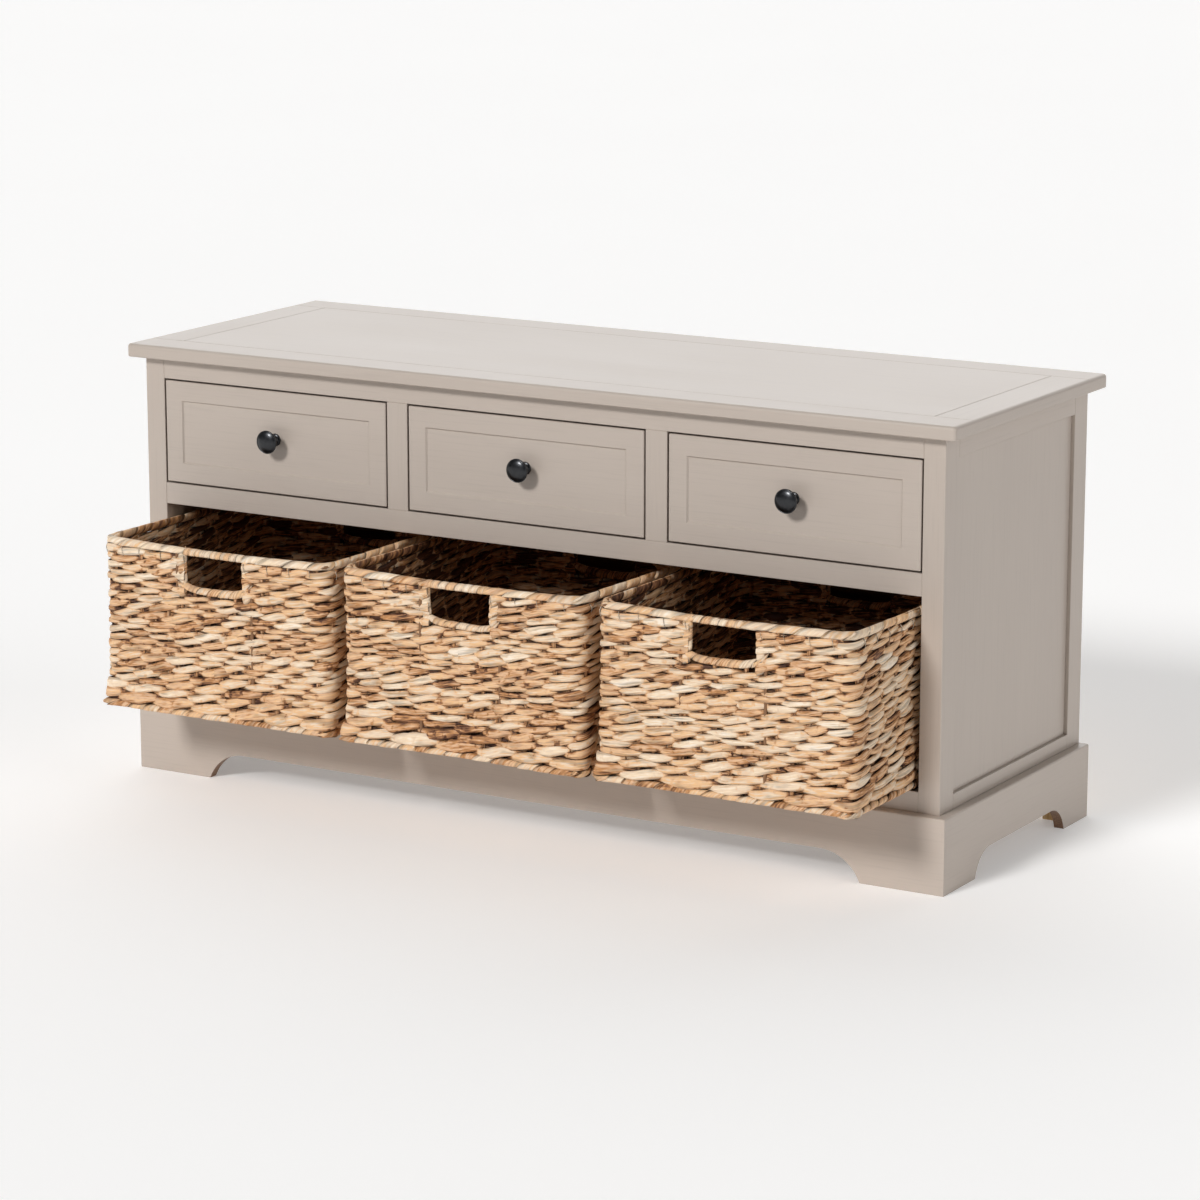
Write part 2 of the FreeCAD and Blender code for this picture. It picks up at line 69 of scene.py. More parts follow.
def node(tree, kind, links=None, stops=None, **settings):
    """Add one shader node. A link's value is a node, a socket or a plain value.

    A new ramp holds two stops already, and the first two given take their places."""
    made = tree.nodes.new("ShaderNode" + kind)
    for name, value in settings.items():
        setattr(made, name, value)
    for socket_name, value in (links or {}).items():
        socket = made.inputs[socket_name]
        if isinstance(value, bpy.types.Node):
            value = value.outputs[0]
        if isinstance(value, bpy.types.NodeSocket):
            tree.links.new(value, socket)
        else:
            socket.default_value = value
    for i, (place, chip) in enumerate(stops or []):
        ramp = made.color_ramp.elements
        stop = ramp[i] if i < 2 else ramp.new(place)
        stop.position = place
        stop.color = linear(chip)
    return made


def new_material(name):
    """An empty material, its node tree and its surface shader."""
    material = bpy.data.materials.new(name)
    material.use_nodes = True
    tree = material.node_tree
    tree.nodes.clear()
    shader = node(tree, "BsdfPrincipled")
    node(tree, "OutputMaterial", {"Surface": shader})
    return material, tree, shader


print("middle grey #808080 is", round(linear("#808080")[0], 3), "in linear light")

# %% [markdown]
# ## Satin paint on sprayed wood
# The cabinet wears a warm greige satin lacquer, sprayed over primed hardwood and MDF. The eye
# gets three things from it: a soft broad highlight, the ghost of the grain along each board,
# and darker lines where boards meet. So the bump is a noise that is stretched along the board,
# and an ambient occlusion node paints shade into the few millimetres of every joint, crevice and
# recess. The same recipe serves boards that run along any of the three axes.

# %% Satin greige paint
PAINT = "#C1B5AA"
PAINT_SHADE = "#B9ACA1"
CREVICE_PAINTED_SHADE = "#6A5847"
GRAIN_WIDTH = 1.6 * MM          # drawn about twice as wide as real pores, so that it shows
GRAIN_LENGTH = 70 * MM
SPRAY_DIMPLE = 2.5 * MM         # the faint orange peel of a sprayed coat
CREVICE_SHADE_REACH = 3.5 * MM


def stretched(tree, along, width, length):
    """Object coordinates scaled so that a noise runs along one axis."""
    scale = [1 / width] * 3
    scale[along] = 1 / length
    place = node(tree, "TexCoord")
    return node(tree, "Mapping", {"Vector": place.outputs["Object"], "Scale": scale})


def paint_coat(tree, shader, along):
    """Colour, bump and gloss of the sprayed coat; returns the colour's node."""
    grain = node(tree, "TexNoise", {
        "Vector": stretched(tree, along, GRAIN_WIDTH, GRAIN_LENGTH), "Scale": 1.0, "Detail": 3.0})
    cloud = node(tree, "TexNoise", {
        "Vector": stretched(tree, along, 60 * MM, 260 * MM), "Scale": 1.0, "Detail": 2.0})
    dimple = node(tree, "TexNoise", {
        "Vector": stretched(tree, along, SPRAY_DIMPLE, SPRAY_DIMPLE), "Scale": 1.0, "Detail": 1.0})
    tint = node(tree, "MixRGB", {
        "Fac": cloud, "Color1": linear(PAINT_SHADE), "Color2": linear(PAINT)})
    pores = node(tree, "MapRange", {
        "Value": grain, "From Min": 0.30, "From Max": 0.48, "To Min": 0.95, "To Max": 1.0})
    tint = node(tree, "MixRGB", {"Fac": 1.0, "Color1": tint, "Color2": pores},
                blend_type="MULTIPLY")
    # Painted shade: ambient occlusion darkens the colour towards a brown in joints, crevices and
    # recesses.
    open_air = node(tree, "AmbientOcclusion", {"Distance": CREVICE_SHADE_REACH}, samples=6)
    crevice_shade_mix = node(tree, "MapRange", {
        "Value": open_air.outputs["AO"], "From Min": 0.12, "From Max": 0.58})
    colour = node(tree, "MixRGB", {
        "Fac": crevice_shade_mix, "Color1": linear(CREVICE_PAINTED_SHADE), "Color2": tint})
    soft = node(tree, "Bump", {"Height": dimple, "Distance": 0.03 * MM, "Strength": 0.5})
    bump = node(tree, "Bump", {
        "Height": grain, "Distance": 0.10 * MM, "Strength": 0.42, "Normal": soft})
    gloss = node(tree, "MapRange", {"Value": cloud, "To Min": 0.32, "To Max": 0.42})
    tree.links.new(colour.outputs[0], shader.inputs["Base Color"])
    tree.links.new(bump.outputs[0], shader.inputs["Normal"])
    tree.links.new(gloss.outputs[0], shader.inputs["Roughness"])
    shader.inputs["IOR"].default_value = 1.5
    return colour


def satin_paint(name, along):
    """Satin paint whose grain runs along one axis."""
    material, tree, shader = new_material(name)
    paint_coat(tree, shader, along)
    return material


ALONG_X, ALONG_Y, ALONG_Z = 0, 1, 2
paint_x = satin_paint("satin_greige_paint_lengthwise", ALONG_X)
paint_y = satin_paint("satin_greige_paint_crosswise", ALONG_Y)
paint_z = satin_paint("satin_greige_paint_upright", ALONG_Z)
print("paint:", [m.name for m in (paint_x, paint_y, paint_z)])

# %% [markdown]
# ## Bare wood
# Drawer boxes, runners and blocks are sanded paulownia and pine, left bare: pale, dry and
# straight-grained, with growth rings a few millimetres apart and fine dark pores. The back and
# the drawer bottoms are thin plywood, which is the same wood peeled round the log, so its grain
# is broader and more cloudy. Rings are a distorted noise, drawn out along the board. Dry wood
# has no clear coat, so its highlight is weak and wide.

# %% Bare wood and plywood
RING_GAP = 5 * MM
PORE_WIDTH = 0.6 * MM


def bare_wood(name, along, ring, chips, rough):
    """Sanded wood: growth rings, pores and a fine fuzzy bump."""
    material, tree, shader = new_material(name)
    rings = node(tree, "TexNoise", {
        "Vector": stretched(tree, along, ring, 45 * ring), "Scale": 1.0, "Detail": 2.0,
        "Distortion": 0.6})
    pores = node(tree, "TexNoise", {
        "Vector": stretched(tree, along, PORE_WIDTH, 18 * MM), "Scale": 1.0, "Detail": 2.0})
    ramp = node(tree, "ValToRGB", {"Fac": rings}, stops=list(zip((0.3, 0.7, 0.52), chips)))
    dark = node(tree, "MapRange", {
        "Value": pores, "From Min": 0.28, "From Max": 0.5, "To Min": 0.78, "To Max": 1.0})
    colour = node(tree, "MixRGB", {"Fac": 1.0, "Color1": ramp, "Color2": dark},
                  blend_type="MULTIPLY")
    bump = node(tree, "Bump", {"Height": pores, "Distance": 0.15 * MM, "Strength": 0.6})
    tree.links.new(colour.outputs[0], shader.inputs["Base Color"])
    tree.links.new(bump.outputs[0], shader.inputs["Normal"])
    shader.inputs["Roughness"].default_value = rough
    shader.inputs["IOR"].default_value = 1.45
    return material


PINE = ("#C79F6B", "#E3C696", "#D8B680")
PEELED = ("#A98358", "#C9A678", "#B99367")
pine_x = bare_wood("bare_pine_lengthwise", ALONG_X, RING_GAP, PINE, 0.7)
pine_y = bare_wood("bare_pine_crosswise", ALONG_Y, RING_GAP, PINE, 0.7)
pine_z = bare_wood("bare_pine_upright", ALONG_Z, RING_GAP, PINE, 0.7)
plywood = bare_wood("thin_plywood", ALONG_X, 3 * RING_GAP, PEELED, 0.75)
print("bare wood:", [m.name for m in (pine_x, pine_y, pine_z, plywood)])

# %% [markdown]
# ## Plinth: paint outside, sawn wood inside
# Only the outer faces of the plinth were sprayed. The sawn edges under the arches and the inner
# faces show brown, bare wood. The boards are one solid each, so the material itself decides:
# it is paint where a point lies on an outer face of the plinth's box or on its rounded upper
# edge, and bare wood elsewhere.

# %% Plinth finish
SAWN = ("#6A4C35", "#8F6D4F", "#7C5A40")
plinth_low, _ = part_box("plinth_front")
_, plinth_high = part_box("plinth_right")
ROUND_EDGE = 5 * MM
FACE_DEPTH = 0.4 * MM


def plinth_finish(name, along):
    """Satin paint on the outer faces, brown sawn wood on all others."""
    material, tree, shader = new_material(name)
    coat = paint_coat(tree, shader, along)
    spot = node(tree, "SeparateXYZ", {0: node(tree, "TexCoord").outputs["Object"]}).outputs
    sideways = node(tree, "Math", {0: spot["X"]}, operation="ABSOLUTE")
    end, front = plinth_high[0] - FACE_DEPTH, plinth_low[1] + FACE_DEPTH
    edge = plinth_high[2] - ROUND_EDGE
    faces = [
        node(tree, "Math", {0: sideways, 1: end}, operation="GREATER_THAN"),
        node(tree, "Math", {0: spot["Y"], 1: front}, operation="LESS_THAN"),
        node(tree, "Math", {0: spot["Z"], 1: edge}, operation="GREATER_THAN"),
    ]
    painted = faces[0]
    for face in faces[1:]:
        painted = node(tree, "Math", {0: painted, 1: face}, operation="MAXIMUM")
    fibres = node(tree, "TexNoise", {
        "Vector": stretched(tree, along, 1.2 * MM, 40 * MM), "Scale": 1.0, "Detail": 3.0})
    sawn = node(tree, "ValToRGB", {"Fac": fibres}, stops=list(zip((0.3, 0.7, 0.5), SAWN)))
    colour = node(tree, "MixRGB", {"Fac": painted, "Color1": sawn, "Color2": coat})
    tree.links.new(colour.outputs[0], shader.inputs["Base Color"])
    return material


plinth_x = plinth_finish("satin_greige_plinth_front", ALONG_X)
plinth_y = plinth_finish("satin_greige_plinth_side", ALONG_Y)
print("plinth stands", round(plinth_high[2] / MM, 1), "mm high")

# %% [markdown]
# ## Metals
# The knobs are die-cast zinc with a gunmetal plating under a thin lacquer: a neutral dark grey
# with a clear highlight. The screws are plain zinc-plated steel, pale and a little cloudy. Both
# are metals, so metallic is 1 and the colour is the reflection's colour. The baskets' wire wears
# a brown lacquer that hides it among the stems. A lacquer isn't a metal, so there metallic is 0.

# %% Gunmetal and zinc-plated steel
def plated_metal(name, chip, worn_chip, rough, blotch):
    """A plated metal whose colour and gloss wander by a few percent."""
    material, tree, shader = new_material(name)
    cloud = node(tree, "TexNoise", {
        "Vector": stretched(tree, ALONG_X, blotch, blotch), "Scale": 1.0, "Detail": 4.0})
    colour = node(tree, "MixRGB", {
        "Fac": cloud, "Color1": linear(chip), "Color2": linear(worn_chip)})
    gloss = node(tree, "MapRange", {"Value": cloud, "To Min": rough - 0.07, "To Max": rough + 0.09})
    bump = node(tree, "Bump", {"Height": cloud, "Distance": 0.05 * MM, "Strength": 0.3})
    tree.links.new(colour.outputs[0], shader.inputs["Base Color"])
    tree.links.new(gloss.outputs[0], shader.inputs["Roughness"])
    tree.links.new(bump.outputs[0], shader.inputs["Normal"])
    shader.inputs["Metallic"].default_value = 1.0
    return material, shader


gunmetal, gunmetal_shader = plated_metal("gunmetal_plated_zinc", "#252628", "#3B3C3F", 0.36, 3 * MM)
gunmetal_shader.inputs["Coat Weight"].default_value = 0.5
gunmetal_shader.inputs["Coat Roughness"].default_value = 0.2
steel, _ = plated_metal("zinc_plated_steel", "#A9A9A4", "#C9C7BE", 0.38, 2 * MM)
wire_lacquer, wire_shader = plated_metal("brown_lacquered_wire", "#7A5638", "#8C6645", 0.5, 4 * MM)
wire_shader.inputs["Metallic"].default_value = 0.0
print("metals:", gunmetal.name, steel.name, wire_lacquer.name)

# %% [markdown]
# ## Finish the boards
# Each CAD board already has its true shape, and most have a small bevel on their edges. The side
# and back panels, the shelf, the hidden back rails, the drawer bottoms and most edges of the
# plinth's front and sides are square. A board only needs the finish that runs the right way:
# rails along X, posts and side panels upright, side rails along Y.

# %% Give every carried-over board its finish
BOARD_FINISH = {
    "top_centre_panel": paint_x, "top_front_rail": paint_x, "top_back_rail": paint_x,
    "top_left_end": paint_y, "top_right_end": paint_y,
    "front_top_rail": paint_x, "front_mid_rail": paint_x, "front_bottom_rail": paint_x,
    "bottom_shelf": paint_x, "plinth_front": plinth_x, "plinth_back": pine_x,
    "back_panel": plywood, "back_rails": pine_x, "corner_blocks": pine_z,
    "drawer_runners": pine_y, "back_panel_screws": steel, "top_screws": steel,
}
for side in ("left", "right"):
    BOARD_FINISH.update({
        f"{side}_front_post": paint_z, f"{side}_back_post": paint_z, f"{side}_muntin": paint_z,
        f"{side}_side_top_rail": paint_y, f"{side}_side_bottom_rail": paint_y,
        f"{side}_side_panel": paint_z, f"{side}_partition": pine_y, f"plinth_{side}": plinth_y,
    })
PLACES = ("left", "centre", "right")
for place in PLACES:
    BOARD_FINISH.update({
        f"drawer_{place}_front": paint_x, f"drawer_{place}_left_side": pine_y,
        f"drawer_{place}_right_side": pine_y, f"drawer_{place}_back": pine_x,
        f"drawer_{place}_bottom": plywood, f"drawer_{place}_knob_screw": steel,
        f"basket_{place}_wire_frame": wire_lacquer,
    })
for name, finish in BOARD_FINISH.items():
    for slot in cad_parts[name].material_slots:
        slot.material = finish
print(len(BOARD_FINISH), "boards and fittings finished")

# %% [markdown]
# ## Meshes from grids
# A turned knob, a strand and a wrapped band are all a ring of points carried along a line. One
# helper turns such a grid of points into the faces of a tube, and another joins many tubes into
# one mesh, with numbers on each point that the material reads later.

# %% Grid and mesh helpers
HALF_ROUND = 8 * MM             # how far the fibre pattern runs round half a strand
SEED_STEP = 0.37                # how far apart two strands lie in that pattern


def grid_faces(rings, sides):
    """Quads between neighbouring rings of a tube."""
    start = np.arange(rings - 1)[:, None] * sides
    side = np.arange(sides)[None, :]
    beside = (side + 1) % sides
    corners = (start + side, start + beside, start + sides + beside, start + sides + side)
    return np.stack(corners, axis=-1).reshape(-1, 4)


class Bundle:
    """Collects strands, then becomes one mesh with a tone and fibre coordinates per point."""

    def __init__(self):
        self.points, self.faces, self.tone, self.fibre, self.count = [], [], [], [], 0

    def add(self, rings, tone, along):
        """rings is (rings, sides, 3); along has one value per ring, tone one per ring or point."""
        total, sides, _ = rings.shape
        self.points.append(rings.reshape(-1, 3))
        self.faces.append(grid_faces(total, sides) + self.count)
        self.tone.append(np.broadcast_to(tone.reshape(total, -1), (total, sides)).ravel())
        around = np.tile(np.abs(np.linspace(-1, 1, sides, endpoint=False)) * HALF_ROUND, total)
        seed = np.full(total * sides, SEED_STEP * len(self.points))
        self.fibre.append(np.stack([np.repeat(along, sides), around, seed], axis=1))
        self.count += total * sides

    def mesh(self, name):
        """All strands so far as one smooth mesh."""
        points = np.concatenate(self.points)
        faces = np.concatenate(self.faces)
        mesh = bpy.data.meshes.new(name)
        mesh.vertices.add(len(points))
        mesh.vertices.foreach_set("co", points.ravel())
        mesh.loops.add(faces.size)
        mesh.loops.foreach_set("vertex_index", faces.ravel())
        mesh.polygons.add(len(faces))
        mesh.polygons.foreach_set("loop_start", np.arange(0, faces.size, 4))
        mesh.polygons.foreach_set("use_smooth", np.ones(len(faces), dtype=bool))
        tone = mesh.attributes.new("tone", "FLOAT", "POINT")
        tone.data.foreach_set("value", np.concatenate(self.tone))
        fibre = mesh.attributes.new("fibre", "FLOAT_VECTOR", "POINT")
        fibre.data.foreach_set("vector", np.concatenate(self.fibre).ravel())
        mesh.update(calc_edges=True)
        mesh.validate()
        return mesh


def place_piece(name, mesh, material, body, node_name):
    """Put a finished mesh in the scene, riding on its body in place of its CAD node."""
    mesh.materials.append(material)
    piece = bpy.data.objects.new(name, mesh)
    bpy.context.scene.collection.objects.link(piece)
    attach(piece, body)
    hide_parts(node_name)


print("a grid of 3 rings of 4 points has", len(grid_faces(3, 4)), "faces")

# %% [markdown]
# ## Turned knobs
# Each knob is a mushroom: a small foot on the drawer, a waist for two fingers, then a head with
# a fine bead round its rim and a low dome. On the real one that is a casting, polished and
# plated. A lathe profile spun round the axis gives it, with enough steps that the bead and the
# dome stay smooth. Each point of the profile is a radius and a height, as shares of the knob's
# own radius and length, and a smooth curve runs through them.

# %% Lathe the three knobs
KNOB_TURNS = 64
KNOB_TIP = 0.002                # radius of the profile's ends, as a share of the knob's
PROFILE = (
    (0.00, 0.000), (0.50, 0.000), (0.53, 0.020), (0.53, 0.050), (0.50, 0.075), (0.40, 0.100),
    (0.33, 0.160), (0.30, 0.260), (0.30, 0.400), (0.36, 0.530), (0.56, 0.650), (0.86, 0.740),
    (0.96, 0.765), (0.995, 0.795), (1.00, 0.830), (0.985, 0.858), (0.955, 0.870), (0.930, 0.862),
    (0.900, 0.862), (0.84, 0.888), (0.72, 0.925), (0.54, 0.962), (0.34, 0.986), (0.16, 0.997),
    (0.00, 1.000),
)


def smooth_line(points, per_span):
    """A Catmull-Rom curve through points."""
    line = np.array(points)
    padded = np.vstack([2 * line[0] - line[1], line, 2 * line[-1] - line[-2]])
    t = np.linspace(0, 1, per_span, endpoint=False)[:, None]
    spans = []
    for a, b, c, d in zip(padded, padded[1:], padded[2:], padded[3:]):
        spans.append(0.5 * (2 * b + (c - a) * t + (2 * a - 5 * b + 4 * c - d) * t ** 2
                            + (3 * b - a - 3 * c + d) * t ** 3))
    return np.vstack(spans + [line[-1:]])


def knob_rings(low, high):
    """Rings of the knob, standing out along -Y from the drawer."""
    radius, length = (high[0] - low[0]) / 2, high[1] - low[1]
    middle = ((low[0] + high[0]) / 2, (low[2] + high[2]) / 2)
    profile = smooth_line(PROFILE, 3)
    turn = 2 * np.pi * np.arange(KNOB_TURNS) / KNOB_TURNS
    r = np.maximum(profile[:, :1], KNOB_TIP) * radius
    x = middle[0] + r * np.cos(turn)
    z = middle[1] + r * np.sin(turn)
    y = high[1] - np.broadcast_to(profile[:, 1:] * length, x.shape)
    return np.stack([x, y, z], axis=-1)


for place in PLACES:
    bundle = Bundle()
    rings = knob_rings(*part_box(f"drawer_{place}_knob"))
    bundle.add(rings, np.zeros(len(rings)), np.arange(len(rings)) * MM)
    mesh = bundle.mesh(f"knob_{place}")
    body = f"drawer_{place}"
    place_piece(f"knob_{place}", mesh, gunmetal, body, f"{body}_knob")
print("knobs are", round((rings[..., 0].max() - rings[..., 0].min()) / MM, 1), "mm across")

# %% [markdown]
# ## Woven baskets: the material
# The baskets are twined from dried water hyacinth. The stems are split and flattened, so each
# strand is a soft, folded ribbon, straw to mauve-brown in colour, with fine fibres along it.
# The colour changes from stem to stem, not within one. So each strand carries a tone on its
# points, a ramp turns the tone into a colour, and a noise stretched along the strand draws the
# fibres in colour and bump. The fibres are drawn about twice as coarse as real ones. The ambient
# occlusion node paints deep gaps near black-brown, a painted shade on top of the real shadow,
# and the creases of the fold bump get painted shade too.

# %% Dried water hyacinth
HYACINTH = (
    (0.00, "#4F2A13"), (1.00, "#F9E9D5"), (0.14, "#8E6243"), (0.27, "#C98F58"), (0.40, "#DDB592"),
    (0.55, "#EEC08C"), (0.70, "#E8D0B7"), (0.84, "#F4DAB8"),
)
PAINTED_GAP_SHADE = "#1A0701"
FIBRE = (14 * MM, 0.9 * MM, 1 / 11)     # each pattern's length, width and step between strands
STAIN = (9 * MM, 5 * MM, 1 / 7)
FOLD = (34 * MM, 2.6 * MM, 1 / 5)
GAP_SHADE_REACH = 8 * MM


def along_strands(tree, fibre, size, detail):
    """A noise that runs along each strand and differs from strand to strand."""
    place = node(tree, "Mapping", {
        "Vector": fibre.outputs["Vector"], "Scale": [1 / part for part in size]})
    return node(tree, "TexNoise", {"Vector": place, "Scale": 1.0, "Detail": detail})


def water_hyacinth():
    """Dried stems: a colour for each tone, with fibres, stains, folds, and painted shade in folds
    and gaps.
    """
    material, tree, shader = new_material("dried_water_hyacinth")
    tone = node(tree, "Attribute", attribute_name="tone")
    fibre = node(tree, "Attribute", attribute_name="fibre")
    streaks = along_strands(tree, fibre, FIBRE, 3.0)
    stains = along_strands(tree, fibre, STAIN, 3.0)
    folds = along_strands(tree, fibre, FOLD, 2.0)
    streak_shift = node(tree, "MapRange", {
        "Value": streaks, "From Min": 0.25, "From Max": 0.75, "To Min": -0.26, "To Max": 0.26})
    stain_shift = node(tree, "MapRange", {
        "Value": stains, "From Min": 0.58, "From Max": 0.72, "To Min": 0.0, "To Max": -0.30})
    shift = node(tree, "Math", {0: streak_shift, 1: stain_shift}, operation="ADD")
    shifted = node(tree, "Math", {0: tone.outputs["Fac"], 1: shift}, operation="ADD")
    ramp = node(tree, "ValToRGB", {"Fac": shifted}, stops=HYACINTH)
    # Painted shade: the colour darkens in the creases of the fold bump.
    fold_shade = node(tree, "MapRange", {
        "Value": folds, "From Min": 0.32, "From Max": 0.46, "To Min": 0.62, "To Max": 1.0})
    folded = node(tree, "MixRGB", {"Fac": 1.0, "Color1": ramp, "Color2": fold_shade},
                  blend_type="MULTIPLY")
    # Painted shade: ambient occlusion darkens deep gaps towards near black-brown.
    open_air = node(tree, "AmbientOcclusion", {"Distance": GAP_SHADE_REACH}, samples=6)
    depth = node(tree, "MapRange", {
        "Value": open_air.outputs["AO"], "From Min": 0.17, "From Max": 0.70})
    colour = node(tree, "MixRGB", {
        "Fac": depth, "Color1": linear(PAINTED_GAP_SHADE), "Color2": folded})
    fold_bump = node(tree, "Bump", {"Height": folds, "Distance": 2.2 * MM, "Strength": 1.0})
    bump = node(tree, "Bump", {
        "Height": streaks, "Distance": 0.45 * MM, "Strength": 0.9, "Normal": fold_bump})
    tree.links.new(colour.outputs[0], shader.inputs["Base Color"])
    tree.links.new(bump.outputs[0], shader.inputs["Normal"])
    shader.inputs["Roughness"].default_value = 0.62
    shader.inputs["IOR"].default_value = 1.45
    return material


hyacinth = water_hyacinth()
print("stems range over", len(HYACINTH), "shades")

# %% [markdown]
# ## The wall as flat cloth
# A basket's wall is easiest to think of unrolled: s runs along it, z up it, and d is how far a
# point stands out of its middle. Everything is woven in those flat terms, then folded round
# the basket's rounded plan by one function. The fold starts at the middle of the front and
# runs to the right. A slow wave in d keeps the walls from being dead flat, a ripple lets rows
# crowd and spread, the lower corners flare a little and the rim sags between the corners, as in
# a real basket that was woven by hand over a wire frame.

# %% Fold a flat wall round the basket
WALL = 10 * MM
WALL_CORNER = 15 * MM
WALL_STEPS = 4001               # places along the wall where its heading is known
WALL_IN = 0.64 * MM             # how far the wall stands in from its middle, on average
WAVE_DEPTH = 0.28 * MM          # how deep each slow wave of the wall is
WAVE_TILT = 18                  # radians a slow wave shifts per metre of height, times 0, 1 or 2
CORNER_FLARE = 9.5 * MM         # how far the lower corners stand out
FLARE_HEIGHT = 22 * MM
RIM_HEIGHT = 4.8 * MM
RIM_SAG = 2.5 * MM
ROW_RIPPLE = 62 * MM
ROW_SHIFT = 1.1 * MM


class Wall:
    """The basket's wall: its length, and the fold from flat to round."""

    def __init__(self, low, high, seed):
        self.rng = np.random.default_rng(seed)
        self.low, self.high = np.array(low), np.array(high)
        self.height = self.high[2] - self.low[2]
        straight = self.high[:2] - self.low[:2] - WALL - 2 * WALL_CORNER
        quarter = math.pi / 2 * WALL_CORNER
        runs = [straight[0] / 2, quarter, straight[1], quarter, straight[0],
                quarter, straight[1], quarter, straight[0] / 2]
        turns = np.radians([0, 0, 90, 90, 180, 180, 270, 270, 360, 360])
        marks = np.concatenate([[0], np.cumsum(runs)])
        self.length = marks[-1]
        self.steps = np.linspace(0, self.length, WALL_STEPS)
        self.heading = np.interp(self.steps, marks, turns)
        step = self.steps[1]
        self.x = np.cumsum(np.cos(self.heading)) * step + (self.low[0] + self.high[0]) / 2
        self.y = np.cumsum(np.sin(self.heading)) * step + self.low[1] + WALL / 2
        self.waves = self.rng.uniform(0, 2 * math.pi, (6, 2))

    def bulge(self, s, z):
        """A slow wave of the wall, and a flare of the four lower corners."""
        total = -WALL_IN
        for i, start in enumerate(self.waves.sum(axis=1)):
            phase = 2 * math.pi * (i + 2) * s / self.length + WAVE_TILT * (i % 3) * z
            total = total + WAVE_DEPTH * np.cos(phase + start)
        turning = np.sin(2 * np.interp(s % self.length, self.steps, self.heading)) ** 2
        return total + CORNER_FLARE * turning * np.exp(-z / FLARE_HEIGHT)

    def ripple(self, s, z, first):
        """Rows crowd together here and spread there, but not at the rim or the border."""
        total = 0
        for i in range(2):
            phase = 2 * math.pi * ((3 + 2 * i) * s / self.length + z / ROW_RIPPLE)
            total = total + np.cos(phase + self.waves[first + i].sum())
        return ROW_SHIFT * total * np.sin(math.pi * np.clip(z / self.height, 0, 1))

    def sag(self, s, z):
        """The rim hangs a little between the corners."""
        between = 0.5 + 0.5 * np.cos(8 * math.pi * s / self.length)
        return RIM_SAG * between * (z / self.height) ** 3

    def from_hold(self, s):
        """How far along the wall the middle of the nearest hand-hold is."""
        half = self.length / 2
        return np.minimum(s % half, half - s % half)

    def fold(self, s, z, d):
        """Flat places to places in the scene."""
        s, z = s + self.ripple(s, z, 2), z + self.ripple(s, z, 0)
        around = s % self.length
        heading = np.interp(around, self.steps, self.heading)
        out = d + self.bulge(s, z)
        x = np.interp(around, self.steps, self.x) + np.sin(heading) * out
        y = np.interp(around, self.steps, self.y) - np.cos(heading) * out
        return np.stack([x, y, self.low[2] + z - self.sag(s, z)], axis=-1)


walls = {}
for number, place in enumerate(PLACES):
    walls[place] = Wall(*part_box(f"basket_{place}_weave"), seed=31 + number)
print("one wall unrolled is", round(walls["left"].length / MM), "mm long")

# %% [markdown]
# ## Smooth chance
# Hand work is never even, but its widths, heights, tones and spacings wander slowly and don't
# jump. So one function draws a random value for each whole step and blends smoothly from one to
# the next. Another spreads such values along a row, so that the row's end meets its beginning.

# %% Values that wander
def wander(rng, t, count):
    """Smooth random values from -1 to 1: one draw for each whole step of t, repeating."""
    draws = rng.uniform(-1, 1, count)
    step = np.floor(t).astype(int)
    blend = 0.5 - 0.5 * np.cos(math.pi * (t - step))
    return draws[step % count] * (1 - blend) + draws[(step + 1) % count] * blend


def drift_along(rng, s, step):
    """Smooth random values along s, about one draw a step, that end as they began."""
    count = max(round((s[-1] - s[0]) / step), 1)
    return wander(rng, (s - s[0]) / (s[-1] - s[0]) * count, count)


print("a few wandering values:",
      np.round(wander(np.random.default_rng(1), np.arange(0, 2, 0.5), 4), 2))

# %% [markdown]
# ## Twining
# Twining works two strands at once round upright stakes: where one passes in front, the other
# passes behind, and then they cross. Here a pass spans about two stakes. Seen from outside, it
# is a lens that is wide in the middle and narrow where it dives behind the next. A cosine moves
# the strand out and in, a sine lifts it at one crossing and lowers it at the next, and the width
# swells with the size of the cosine. Raising that size to a power below one keeps a pass full
# for longer before it dives. Each pass then gets its own width, tilt and height, because no two
# stems are alike, and the strand's section has its own creases. Its folded edges are drawn
# darker than its face: partly their browner colour, partly painted shade where the section turns
# away from the light.

# %% Twine one row
PASS_WIDTH = 9.6 * MM
CROSSING_WIDTH = 7.0 * MM
STRAND_THICKNESS = 4.0 * MM
STRAND_OUT = 2.5 * MM
CROSSING_RISE = 2.2 * MM
WAVE = 74 * MM
STRAND_SIDES = 8
STRAND_STEP = 3.4 * MM
INSIDE_BARK_AND_SHADE = 0.37             # stems that face in are darker: partly brown bark, partly painted shade for the dark inside
EDGE_BROWN_AND_SHADE = 0.17               # folded edges are darker too: partly brown, partly painted shade where the section turns away
STEM_LENGTH = 170 * MM          # a stem's tone and width drift over about this length
TONE, TONE_DRIFT, TONE_CHANCE = 0.60, 0.19, 0.29
WIDTH_DRIFT = 0.10              # chance of width along a stem, and below it from pass to pass
WIDTH_CHANCE, THICK_CHANCE, TILT_CHANCE, RISE_CHANCE = 0.20, 0.14, 0.25, 0.5
HEIGHT_CHANCE, DEPTH_CHANCE = 0.6 * MM, 0.35 * MM
CREASE_DEPTH, CREASE_LENGTH = 0.16, 15 * MM
ROW_STRAY, ROW_STRAY_LENGTH = 0.5 * MM, 120 * MM
PASS_STRAY, PASS_STRAY_LENGTH = 0.75, 85 * MM


